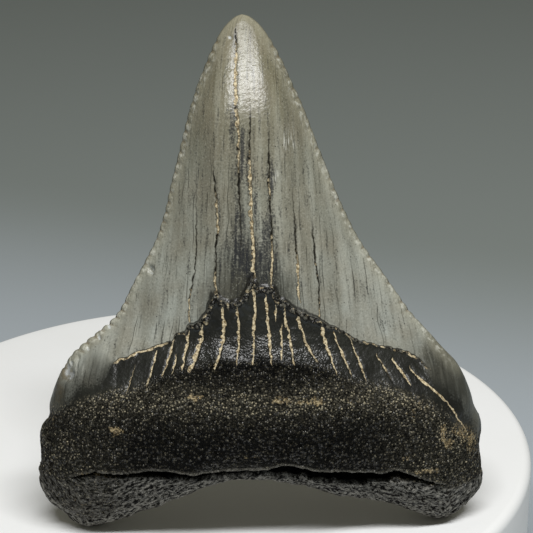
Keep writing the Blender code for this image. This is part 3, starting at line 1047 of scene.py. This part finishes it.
def root_colour(node, read, noise, grains):
    """Colour of the root, in layers from the black grains to the sand, and its ridges."""
    dice = node("SeparateColor", grains.node.outputs["Color"])
    green, blue = dice.node.outputs[1], dice.node.outputs[2]

    # Tops of some grains, lighter at each grain's middle as a painted glint, dust between them,
    # and pale grains in clumps where it is dusty. The dust also paints light in a band under the
    # collar.
    top = node("MapRange", grains, 0.55, 0.25)
    brown = node("Math", node("Math", dice, 3.0, operation="POWER"), top, operation="MULTIPLY")
    dust = node("MapRange", noise["fine"], 0.36, 0.66)
    dust = node("Math", dust, read("dust"), operation="MULTIPLY")
    pale = node("MapRange", noise["small"], 0.35, 0.7, -0.16, 0.20)
    pale = node("Math", node("Math", green, pale), read("dust"))
    paler = node("Math", node("MapRange", pale, 0.92, 1.25), top, operation="MULTIPLY")
    palest = node("Math", node("MapRange", pale, 1.26, 1.50), top, operation="MULTIPLY")
    tint = overlay(node, colour("020202"), (
        # Painted glints: these tints show only at the middles of the grains, the tops of the
        # domes.
        (brown, 0.0, 1.0, 1.0, "45402f"),
        # Dust, with painted light in the band under the collar.
        (dust, 0.0, 1.0, 1.0, "504d42"),
        (paler, 0.0, 1.0, 0.85, "847e6c"),
        (palest, 0.0, 1.0, 0.85, "b6ac91"),
        # Painted shade: darker in the hollows between the clods.
        (read("hollow"), 0.2, 1.0, 0.4, "020202"),
    ))

    # Underneath, the inner bone shows: grey ridges along the arch, with black pores.
    place = node("SeparateXYZ", node("TexCoord", output=3))
    ridges = node("Math", read("above_arch"), MM, operation="MULTIPLY")
    ridges = node("CombineXYZ", place, place.node.outputs[1], ridges)
    ridges = node("Mapping", ridges, None, None, (0.55, 0.75, 1.0))
    ridges = node("TexNoise", ridges, 1 / (0.23 * MM), 2.0)
    bone = overlay(node, colour("060606"), [(ridges, 0.42, 0.62, 1.0, "8f8d86")])
    tint = node("Mix", read("porous"), tint, bone, data_type="RGBA")
    lip = node("MapRange", noise["fine"], 0.35, 0.6, 0.2, 0.9)
    lip = node("Math", lip, read("lip"), operation="MULTIPLY")
    tint = overlay(node, tint, [(lip, 0.0, 1.0, 1.0, "77746b")])

    sandy = node("Math", read("sand"), 0.62, operation="MULTIPLY")
    sandy = node("Math", noise["small"], 0.55, sandy, operation="MULTIPLY_ADD")
    sandy = node("Math", blue, 0.35, sandy, operation="MULTIPLY_ADD")
    sandy = node("MapRange", sandy, 0.80, 0.95, 0.0, 0.85)
    sand = overlay(node, colour("5a4b33"), [(noise["fine"], 0.35, 0.65, 1.0, "b4a37f")])
    return node("Mix", sandy, tint, sand, data_type="RGBA"), ridges


def crack_colour(node, read, noise, tint, family, sandy_from, sandy_to, border_code):
    """A colour with one family of cracks in it, and the mask of their fill.

    A crack has a dark border. It is filled with sand where its own share of sand plus a
    noise is high enough, and it is dark where it is empty.
    """
    fill, border = crack_masks(node, family + "_crack", noise["wobble"])
    sandy = node("Math", read(family + "_sand"), noise["small"])
    sandy = node("MapRange", sandy, sandy_from, sandy_to)
    filling = node("Mix", sandy, colour("1b1a16"), sand_colour(node, noise), data_type="RGBA")
    tint = overlay(node, tint, [(border, 0.0, 1.0, 0.75, border_code)])
    return node("Mix", fill, tint, filling, data_type="RGBA"), fill


def fossil_material():
    """Mineralised tooth: satin grey enamel, black collar, sandy cracks, grainy black root.

    The enamel reads as polished stone with upright streaks and hairlines under a clear
    gloss, which is the coat. The root is black phosphate like coarse sandpaper: dull, with
    a few glinting and sandy grains.
    """
    material, node, shader = new_material("mineralised_fossil_tooth")
    links = material.node_tree.links
    place = node("TexCoord", output=3)

    def read(name):
        return node("Attribute", attribute_name=name, output=2)

    noise = {
        name: node("TexNoise", place, 1 / (size * MM), detail)
        for name, size, detail in NOISES
    }
    grains = node("TexVoronoi", place, 1 / (GRAIN * MM))
    enamel, streak = enamel_colour(node, read, noise)
    root, ridges = root_colour(node, read, noise, grains)
    grainy = read("grainy")

    # The collar has a thin black skin, greyer where it is worn.
    collar = overlay(node, colour("131411"), (
        (noise["broad"], 0.35, 0.7, 1.0, "252621"),
        (noise["fine"], 0.5, 0.68, 0.6, "060605"),
    ))
    dark = node("Mix", grainy, collar, root, data_type="RGBA")
    cracks = partial(crack_colour, node, read, noise)
    dark, collar_fill = cracks(dark, "collar", 1.05, 1.35, "050504")
    enamel, enamel_fill = cracks(enamel, "enamel", 1.20, 1.45, "2a261c")

    # The enamel's end: a dark line over a crust that is black and sandy by turns.
    over = node("MapRange", noise["fine"], 0.0, 1.0, -0.4, 0.4)
    over = node("MapRange", node("Math", read("enamel"), over), -0.5, 0.5)
    tint = node("Mix", over, dark, enamel, data_type="RGBA")
    away = node("Math", node("Math", read("off_crust"), -1.2), operation="ABSOLUTE")
    groove = node("MapRange", away, 0.6, 0.2)
    groove = node("Math", groove, read("crust"), operation="MULTIPLY")
    tint = overlay(node, tint, [(groove, 0.0, 1.0, 0.85, "0b0a08")])
    away = node("Math", read("off_crust"), operation="ABSOLUTE")
    away = node("Math", noise["fine"], 0.8, away, operation="MULTIPLY_ADD")
    crusted = node("MapRange", away, 1.3, 1.0)
    crusted = node("Math", crusted, read("crust"), operation="MULTIPLY")
    sandy = node("Math", read("crust_sand"), noise["wobble"])
    sandy = node("MapRange", sandy, 0.94, 1.06)
    crumbs = overlay(node, colour("0e0d0b"), [(noise["grit"], 0.48, 0.66, 1.0, "5b5950")])
    crumbs = node("Mix", sandy, crumbs, sand_colour(node, noise), data_type="RGBA")
    tint = node("Mix", crusted, tint, crumbs, data_type="RGBA")
    # Painted shadow: the open split's gap is painted black.
    gap = node("MapRange", read("split"), 0.05, 0.25)
    tint = overlay(node, tint, [(gap, 0.0, 1.0, 1.0, "000000")])
    links.new(tint, shader.inputs["Base Color"])

    # Dull below. The coat gives enamel and collar their gloss, and a few grains a glint. The
    # enamel's gloss is less at the very tip, where it is worn, and again lower down.
    rough = node("MapRange", grainy, 0.0, 1.0, 0.5, 0.75)
    links.new(rough, shader.inputs["Roughness"])
    glint = node("SeparateColor", grains.node.outputs["Color"])
    glint = node("MapRange", glint, 0.7, 1.0, 0.02, 0.8)
    gloss = node("Mix", grainy, 0.75, glint)
    height = node("SeparateXYZ", place, output=2)
    worn = node("MapRange", height, 58.5 * MM, 62 * MM, 0.92, 0.3)
    lower = node("MapRange", height, 53.5 * MM, 58.5 * MM, 0.55, 1.0)
    worn = node("Math", worn, lower, operation="MULTIPLY")
    gloss = node("Mix", over, gloss, worn)
    filled = node("Math", collar_fill, enamel_fill, operation="MAXIMUM")
    filled = node("Math", filled, gap, operation="MAXIMUM")
    filled = node("Math", crusted, 0.5, filled, operation="MULTIPLY_ADD", use_clamp=True)
    gloss = node("Mix", filled, gloss, 0.0)
    links.new(gloss, shader.inputs["Coat Weight"])
    shader.inputs["IOR"].default_value = 1.6
    shader.inputs["Specular IOR Level"].default_value = 0.05
    shader.inputs["Coat Roughness"].default_value = 0.32
    shader.inputs["Coat IOR"].default_value = 1.6

    # Heights of the bump in millimetres: domed grains, mottled enamel, crumbly crust and
    # serrations, flaky bone.
    grain = node("MapRange", grains, 0.0, 0.7, 0.11, 0.0)
    grain = node("Math", noise["small"], 0.12, grain, operation="MULTIPLY_ADD")
    grain = node("Math", grain, read("coarse"), operation="MULTIPLY")
    mottle = node("Math", noise["mottle"], 0.045, operation="MULTIPLY")
    mottle = node("Math", noise["fine"], 0.02, mottle, operation="MULTIPLY_ADD")
    mottle = node("Math", streak, 0.012, mottle, operation="MULTIPLY_ADD")
    crumbly = node("Math", read("knobbly"), crusted, operation="MULTIPLY")
    crumbly = node("Math", read("serrated"), 0.6, crumbly, operation="MULTIPLY_ADD")
    crumbly = node("Math", noise["grit"], crumbly, operation="MULTIPLY")
    flakes = node("Math", ridges, read("porous"), operation="MULTIPLY")
    relief = node("Math", grain, mottle)
    relief = node("Math", crumbly, 0.16, relief, operation="MULTIPLY_ADD")
    relief = node("Math", flakes, 0.4, relief, operation="MULTIPLY_ADD")
    bump = node("Bump", 1.0, MM, None, relief)
    links.new(bump, shader.inputs["Normal"])
    links.new(bump, shader.inputs["Coat Normal"])
    return material


def disc_material():
    """Moulded white acrylic: satin, with a hardly visible orange peel and cloudiness."""
    material, node, shader = new_material("satin_white_acrylic")
    links = material.node_tree.links
    place = node("TexCoord", output=3)
    cloud = node("TexNoise", place, 1 / (14 * MM))
    tint = node("Mix", cloud, colour("eff0f0"), colour("f4f5f7"), data_type="RGBA")
    links.new(tint, shader.inputs["Base Color"])
    peel = node("TexNoise", place, 1 / (0.6 * MM), 2.0)
    links.new(node("MapRange", peel, 0.3, 0.7, 0.42, 0.5), shader.inputs["Roughness"])
    bump = node("Bump", 0.3, 0.01 * MM, None, peel)
    links.new(bump, shader.inputs["Normal"])
    shader.inputs["IOR"].default_value = 1.49
    return material


def floor_material():
    """Pale grey backdrop card, dull, with painted shade: darker grey further back behind the
    disc, as the light falls off.
    """
    material, node, shader = new_material("grey_card_with_painted_falloff")
    place = node("TexCoord", output=3)
    turned = node("Mapping", place, None, (0.0, 0.0, 0.36))
    along = node("SeparateXYZ", turned, output=1)
    cloud = node("TexNoise", place, 1 / (120 * MM))
    cloud = node("MapRange", cloud, 0.0, 1.0, -8 * MM, 8 * MM)
    along = node("Math", along, cloud)
    # Painted shade: the card turns darker further back, where the light falls off.
    share = node("MapRange", along, 38 * MM, 106 * MM, interpolation_type="SMOOTHSTEP")
    tint = node("Mix", share, colour("a8b0b7"), colour("858c8a"), data_type="RGBA")
    material.node_tree.links.new(tint, shader.inputs["Base Color"])
    shader.inputs["Roughness"].default_value = 0.9
    return material


# Stage, light and camera ------------------------------------------------------------------


def make_floor():
    """A flat floor under the disc, wide enough to fill the view."""
    corners = np.array([[-1, -1, 0], [1, -1, 0], [1, 1, 0], [-1, 1, 0]]) * FLOOR_REACH
    floor = mesh_piece("floor", corners, [[0, 1, 2, 3]])
    floor.data.materials.append(floor_material())


def make_lights():
    """A softbox overhead, a little in front, and dim warm grey surroundings."""
    light = bpy.data.lights.new("overhead", "AREA")
    light.shape = "RECTANGLE"
    light.size, light.size_y = (length * MM for length in SOFTBOX_SIZE)
    light.energy = SOFTBOX_POWER
    light.color = (1.0, 1.0, 0.99)
    lamp = bpy.data.objects.new("overhead", light)
    lamp.location = Vector(SOFTBOX_PLACE) * MM
    aim = Vector(SOFTBOX_AIM) * MM - lamp.location
    lamp.rotation_euler = aim.to_track_quat("-Z", "Y").to_euler()
    bpy.context.scene.collection.objects.link(lamp)

    world = bpy.data.worlds.new("studio")
    world.use_nodes = True
    background = world.node_tree.nodes["Background"]
    background.inputs["Color"].default_value = colour("cfccb8")
    background.inputs["Strength"].default_value = 0.2
    bpy.context.scene.world = world


def make_camera():
    """Long lens looking along +Y and LOOKING_DOWN degrees down at the tooth."""
    camera = bpy.data.cameras.new("camera")
    camera.sensor_width = SENSOR
    camera.lens = LENS
    camera.clip_start = 0.01
    camera.clip_end = 20.0
    holder = bpy.data.objects.new("camera", camera)
    holder.location = Vector(CAMERA_PLACE) * MM
    holder.rotation_euler = (math.radians(90 - LOOKING_DOWN), 0.0, 0.0)
    bpy.context.scene.collection.objects.link(holder)
    bpy.context.scene.camera = holder


bpy.context.scene.view_settings.view_transform = "Standard"
make_camera()
make_tooth()
make_disc()
make_floor()
make_lights()
